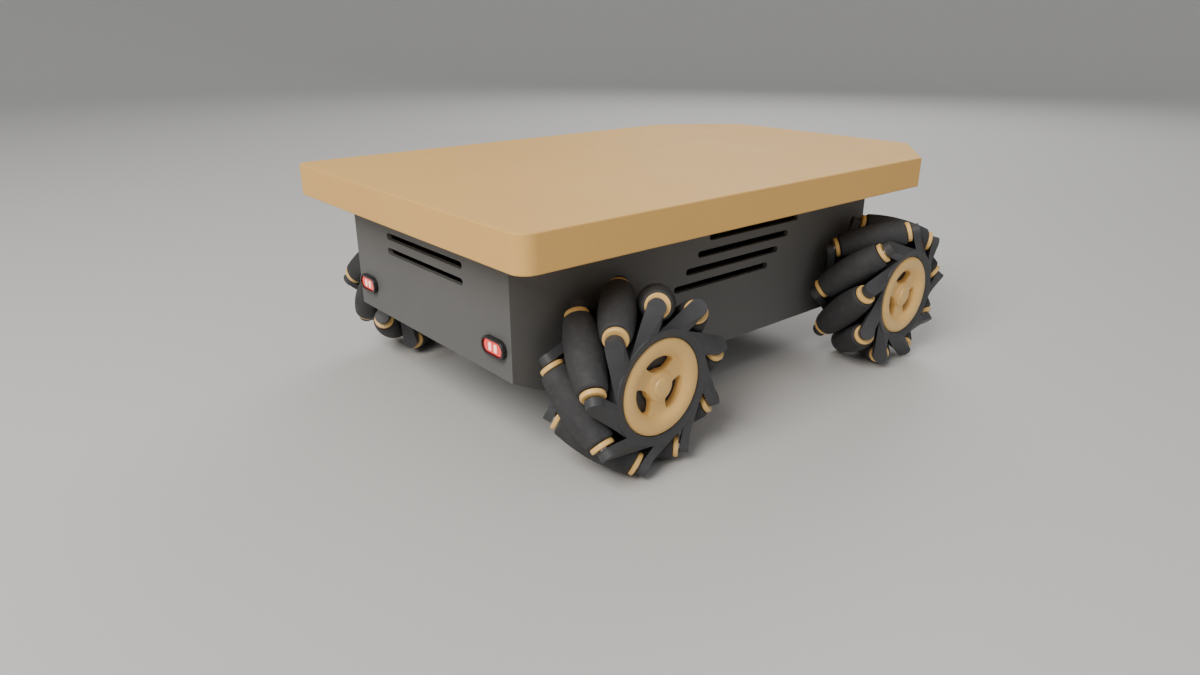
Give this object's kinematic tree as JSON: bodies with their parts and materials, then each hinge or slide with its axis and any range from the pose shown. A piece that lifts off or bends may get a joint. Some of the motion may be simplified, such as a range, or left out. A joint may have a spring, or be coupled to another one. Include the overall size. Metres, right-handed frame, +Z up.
{
  "type": "mecanum wheel robot base",
  "caption": "Flat-decked robot base: a vented box body under a thick chamfered deck, carried on mecanum wheels whose slanted barrel rollers spin freely, with lamps at both ends.",
  "frame": {"origin": "on the floor, under the middle of the deck plate, half way between the four wheel axles", "axes": "+X forwards towards the amber headlamps, +Y to the robot's left, +Z up"},
  "size_m": [0.385, 0.2806, 0.1396],
  "materials": {
    "deck": "satin",
    "body": "satin",
    "steel": "satin",
    "bezel": "satin",
    "tail_lens": "gloss",
    "head_lens": "gloss",
    "motor": "satin",
    "bracket": "satin",
    "battery": "satin",
    "shelf": "matte",
    "circuit": "satin",
    "wheel_black": "satin",
    "hub_gold": "satin",
    "collar_gold": "satin",
    "roller_rubber": "matte"
  },
  "bodies": {
    "chassis": {"deck_plate": "deck", "body_shell": "body", "deck_screws": "steel", "tail_lamp_bezels": "bezel", "tail_lamp_lenses": "tail_lens", "head_lamp_bezels": "bezel", "head_lamp_lenses": "head_lens", "gear_motors": "motor", "motor_brackets": "bracket", "battery_pack": "battery", "electronics_shelf": "shelf", "control_board": "circuit"},
    "wheel_rear_right": {"wheel_rear_right_frame": "wheel_black", "wheel_rear_right_cap": "hub_gold", "wheel_rear_right_axles": "collar_gold"},
    "roller_rear_right_1": {"roller_rear_right_1": "roller_rubber"},
    "roller_rear_right_2": {"roller_rear_right_2": "roller_rubber"},
    "roller_rear_right_3": {"roller_rear_right_3": "roller_rubber"},
    "roller_rear_right_4": {"roller_rear_right_4": "roller_rubber"},
    "roller_rear_right_5": {"roller_rear_right_5": "roller_rubber"},
    "roller_rear_right_6": {"roller_rear_right_6": "roller_rubber"},
    "roller_rear_right_7": {"roller_rear_right_7": "roller_rubber"},
    "roller_rear_right_8": {"roller_rear_right_8": "roller_rubber"},
    "roller_rear_right_9": {"roller_rear_right_9": "roller_rubber"},
    "wheel_rear_left": {"wheel_rear_left_frame": "wheel_black", "wheel_rear_left_cap": "hub_gold", "wheel_rear_left_axles": "collar_gold"},
    "roller_rear_left_1": {"roller_rear_left_1": "roller_rubber"},
    "roller_rear_left_2": {"roller_rear_left_2": "roller_rubber"},
    "roller_rear_left_3": {"roller_rear_left_3": "roller_rubber"},
    "roller_rear_left_4": {"roller_rear_left_4": "roller_rubber"},
    "roller_rear_left_5": {"roller_rear_left_5": "roller_rubber"},
    "roller_rear_left_6": {"roller_rear_left_6": "roller_rubber"},
    "roller_rear_left_7": {"roller_rear_left_7": "roller_rubber"},
    "roller_rear_left_8": {"roller_rear_left_8": "roller_rubber"},
    "roller_rear_left_9": {"roller_rear_left_9": "roller_rubber"},
    "wheel_front_right": {"wheel_front_right_frame": "wheel_black", "wheel_front_right_cap": "hub_gold", "wheel_front_right_axles": "collar_gold"},
    "roller_front_right_1": {"roller_front_right_1": "roller_rubber"},
    "roller_front_right_2": {"roller_front_right_2": "roller_rubber"},
    "roller_front_right_3": {"roller_front_right_3": "roller_rubber"},
    "roller_front_right_4": {"roller_front_right_4": "roller_rubber"},
    "roller_front_right_5": {"roller_front_right_5": "roller_rubber"},
    "roller_front_right_6": {"roller_front_right_6": "roller_rubber"},
    "roller_front_right_7": {"roller_front_right_7": "roller_rubber"},
    "roller_front_right_8": {"roller_front_right_8": "roller_rubber"},
    "roller_front_right_9": {"roller_front_right_9": "roller_rubber"},
    "wheel_front_left": {"wheel_front_left_frame": "wheel_black", "wheel_front_left_cap": "hub_gold", "wheel_front_left_axles": "collar_gold"},
    "roller_front_left_1": {"roller_front_left_1": "roller_rubber"},
    "roller_front_left_2": {"roller_front_left_2": "roller_rubber"},
    "roller_front_left_3": {"roller_front_left_3": "roller_rubber"},
    "roller_front_left_4": {"roller_front_left_4": "roller_rubber"},
    "roller_front_left_5": {"roller_front_left_5": "roller_rubber"},
    "roller_front_left_6": {"roller_front_left_6": "roller_rubber"},
    "roller_front_left_7": {"roller_front_left_7": "roller_rubber"},
    "roller_front_left_8": {"roller_front_left_8": "roller_rubber"},
    "roller_front_left_9": {"roller_front_left_9": "roller_rubber"}
  },
  "joints": [
    {"name": "wheel_rear_right_spin", "type": "hinge", "parent": "chassis", "child": "wheel_rear_right", "pos_m": [-0.11575, -0.11575, 0.05], "axis": [0, 1, 0], "continuous": true},
    {"name": "roller_rear_right_1_spin", "type": "hinge", "parent": "wheel_rear_right", "child": "roller_rear_right_1", "pos_m": [-0.08076, -0.11575, 0.06908], "axis": [-0.3385, -0.7071, 0.6208], "continuous": true},
    {"name": "roller_rear_right_2_spin", "type": "hinge", "parent": "wheel_rear_right", "child": "roller_rear_right_2", "pos_m": [-0.10121, -0.11575, 0.0871], "axis": [-0.6584, -0.7071, 0.258], "continuous": true},
    {"name": "roller_rear_right_3_spin", "type": "hinge", "parent": "wheel_rear_right", "child": "roller_rear_right_3", "pos_m": [-0.12846, -0.11575, 0.08777], "axis": [-0.6702, -0.7071, -0.2255], "continuous": true},
    {"name": "roller_rear_right_4_spin", "type": "hinge", "parent": "wheel_rear_right", "child": "roller_rear_right_4", "pos_m": [-0.14976, -0.11575, 0.07076], "axis": [-0.3684, -0.7071, -0.6036], "continuous": true},
    {"name": "roller_rear_right_5_spin", "type": "hinge", "parent": "wheel_rear_right", "child": "roller_rear_right_5", "pos_m": [-0.15515, -0.11575, 0.04404], "axis": [0.1057, -0.7071, -0.6992], "continuous": true},
    {"name": "roller_rear_right_6_spin", "type": "hinge", "parent": "wheel_rear_right", "child": "roller_rear_right_6", "pos_m": [-0.1421, -0.11575, 0.02011], "axis": [0.5304, -0.7071, -0.4676], "continuous": true},
    {"name": "roller_rear_right_7_spin", "type": "hinge", "parent": "wheel_rear_right", "child": "roller_rear_right_7", "pos_m": [-0.11672, -0.11575, 0.01016], "axis": [0.7069, -0.7071, -0.0173], "continuous": true},
    {"name": "roller_rear_right_8_spin", "type": "hinge", "parent": "wheel_rear_right", "child": "roller_rear_right_8", "pos_m": [-0.09089, -0.11575, 0.01886], "axis": [0.5526, -0.7071, 0.4411], "continuous": true},
    {"name": "roller_rear_right_9_spin", "type": "hinge", "parent": "wheel_rear_right", "child": "roller_rear_right_9", "pos_m": [-0.07669, -0.11575, 0.04212], "axis": [0.1398, -0.7071, 0.6932], "continuous": true},
    {"name": "wheel_rear_left_spin", "type": "hinge", "parent": "chassis", "child": "wheel_rear_left", "pos_m": [-0.11575, 0.11575, 0.05], "axis": [0, 1, 0], "continuous": true},
    {"name": "roller_rear_left_1_spin", "type": "hinge", "parent": "wheel_rear_left", "child": "roller_rear_left_1", "pos_m": [-0.08076, 0.11575, 0.06908], "axis": [-0.3385, 0.7071, 0.6208], "continuous": true},
    {"name": "roller_rear_left_2_spin", "type": "hinge", "parent": "wheel_rear_left", "child": "roller_rear_left_2", "pos_m": [-0.07669, 0.11575, 0.04212], "axis": [0.1398, 0.7071, 0.6932], "continuous": true},
    {"name": "roller_rear_left_3_spin", "type": "hinge", "parent": "wheel_rear_left", "child": "roller_rear_left_3", "pos_m": [-0.09089, 0.11575, 0.01886], "axis": [0.5526, 0.7071, 0.4411], "continuous": true},
    {"name": "roller_rear_left_4_spin", "type": "hinge", "parent": "wheel_rear_left", "child": "roller_rear_left_4", "pos_m": [-0.11672, 0.11575, 0.01016], "axis": [0.7069, 0.7071, -0.0173], "continuous": true},
    {"name": "roller_rear_left_5_spin", "type": "hinge", "parent": "wheel_rear_left", "child": "roller_rear_left_5", "pos_m": [-0.1421, 0.11575, 0.02011], "axis": [0.5304, 0.7071, -0.4676], "continuous": true},
    {"name": "roller_rear_left_6_spin", "type": "hinge", "parent": "wheel_rear_left", "child": "roller_rear_left_6", "pos_m": [-0.15515, 0.11575, 0.04404], "axis": [0.1057, 0.7071, -0.6992], "continuous": true},
    {"name": "roller_rear_left_7_spin", "type": "hinge", "parent": "wheel_rear_left", "child": "roller_rear_left_7", "pos_m": [-0.14976, 0.11575, 0.07076], "axis": [-0.3684, 0.7071, -0.6036], "continuous": true},
    {"name": "roller_rear_left_8_spin", "type": "hinge", "parent": "wheel_rear_left", "child": "roller_rear_left_8", "pos_m": [-0.12846, 0.11575, 0.08777], "axis": [-0.6702, 0.7071, -0.2255], "continuous": true},
    {"name": "roller_rear_left_9_spin", "type": "hinge", "parent": "wheel_rear_left", "child": "roller_rear_left_9", "pos_m": [-0.10121, 0.11575, 0.0871], "axis": [-0.6584, 0.7071, 0.258], "continuous": true},
    {"name": "wheel_front_right_spin", "type": "hinge", "parent": "chassis", "child": "wheel_front_right", "pos_m": [0.11575, -0.11575, 0.05], "axis": [0, 1, 0], "continuous": true},
    {"name": "roller_front_right_1_spin", "type": "hinge", "parent": "wheel_front_right", "child": "roller_front_right_1", "pos_m": [0.14976, -0.11575, 0.07076], "axis": [0.3684, -0.7071, -0.6036], "continuous": true},
    {"name": "roller_front_right_2_spin", "type": "hinge", "parent": "wheel_front_right", "child": "roller_front_right_2", "pos_m": [0.12846, -0.11575, 0.08777], "axis": [0.6702, -0.7071, -0.2255], "continuous": true},
    {"name": "roller_front_right_3_spin", "type": "hinge", "parent": "wheel_front_right", "child": "roller_front_right_3", "pos_m": [0.10121, -0.11575, 0.0871], "axis": [0.6584, -0.7071, 0.258], "continuous": true},
    {"name": "roller_front_right_4_spin", "type": "hinge", "parent": "wheel_front_right", "child": "roller_front_right_4", "pos_m": [0.08076, -0.11575, 0.06908], "axis": [0.3385, -0.7071, 0.6208], "continuous": true},
    {"name": "roller_front_right_5_spin", "type": "hinge", "parent": "wheel_front_right", "child": "roller_front_right_5", "pos_m": [0.07669, -0.11575, 0.04212], "axis": [-0.1398, -0.7071, 0.6932], "continuous": true},
    {"name": "roller_front_right_6_spin", "type": "hinge", "parent": "wheel_front_right", "child": "roller_front_right_6", "pos_m": [0.09089, -0.11575, 0.01886], "axis": [-0.5526, -0.7071, 0.4411], "continuous": true},
    {"name": "roller_front_right_7_spin", "type": "hinge", "parent": "wheel_front_right", "child": "roller_front_right_7", "pos_m": [0.11672, -0.11575, 0.01016], "axis": [-0.7069, -0.7071, -0.0173], "continuous": true},
    {"name": "roller_front_right_8_spin", "type": "hinge", "parent": "wheel_front_right", "child": "roller_front_right_8", "pos_m": [0.1421, -0.11575, 0.02011], "axis": [-0.5304, -0.7071, -0.4676], "continuous": true},
    {"name": "roller_front_right_9_spin", "type": "hinge", "parent": "wheel_front_right", "child": "roller_front_right_9", "pos_m": [0.15515, -0.11575, 0.04404], "axis": [-0.1057, -0.7071, -0.6992], "continuous": true},
    {"name": "wheel_front_left_spin", "type": "hinge", "parent": "chassis", "child": "wheel_front_left", "pos_m": [0.11575, 0.11575, 0.05], "axis": [0, 1, 0], "continuous": true},
    {"name": "roller_front_left_1_spin", "type": "hinge", "parent": "wheel_front_left", "child": "roller_front_left_1", "pos_m": [0.14976, 0.11575, 0.07076], "axis": [0.3684, 0.7071, -0.6036], "continuous": true},
    {"name": "roller_front_left_2_spin", "type": "hinge", "parent": "wheel_front_left", "child": "roller_front_left_2", "pos_m": [0.15515, 0.11575, 0.04404], "axis": [-0.1057, 0.7071, -0.6992], "continuous": true},
    {"name": "roller_front_left_3_spin", "type": "hinge", "parent": "wheel_front_left", "child": "roller_front_left_3", "pos_m": [0.1421, 0.11575, 0.02011], "axis": [-0.5304, 0.7071, -0.4676], "continuous": true},
    {"name": "roller_front_left_4_spin", "type": "hinge", "parent": "wheel_front_left", "child": "roller_front_left_4", "pos_m": [0.11672, 0.11575, 0.01016], "axis": [-0.7069, 0.7071, -0.0173], "continuous": true},
    {"name": "roller_front_left_5_spin", "type": "hinge", "parent": "wheel_front_left", "child": "roller_front_left_5", "pos_m": [0.09089, 0.11575, 0.01886], "axis": [-0.5526, 0.7071, 0.4411], "continuous": true},
    {"name": "roller_front_left_6_spin", "type": "hinge", "parent": "wheel_front_left", "child": "roller_front_left_6", "pos_m": [0.07669, 0.11575, 0.04212], "axis": [-0.1398, 0.7071, 0.6932], "continuous": true},
    {"name": "roller_front_left_7_spin", "type": "hinge", "parent": "wheel_front_left", "child": "roller_front_left_7", "pos_m": [0.08076, 0.11575, 0.06908], "axis": [0.3385, 0.7071, 0.6208], "continuous": true},
    {"name": "roller_front_left_8_spin", "type": "hinge", "parent": "wheel_front_left", "child": "roller_front_left_8", "pos_m": [0.10121, 0.11575, 0.0871], "axis": [0.6584, 0.7071, 0.258], "continuous": true},
    {"name": "roller_front_left_9_spin", "type": "hinge", "parent": "wheel_front_left", "child": "roller_front_left_9", "pos_m": [0.12846, 0.11575, 0.08777], "axis": [0.6702, 0.7071, -0.2255], "continuous": true}
  ]
}
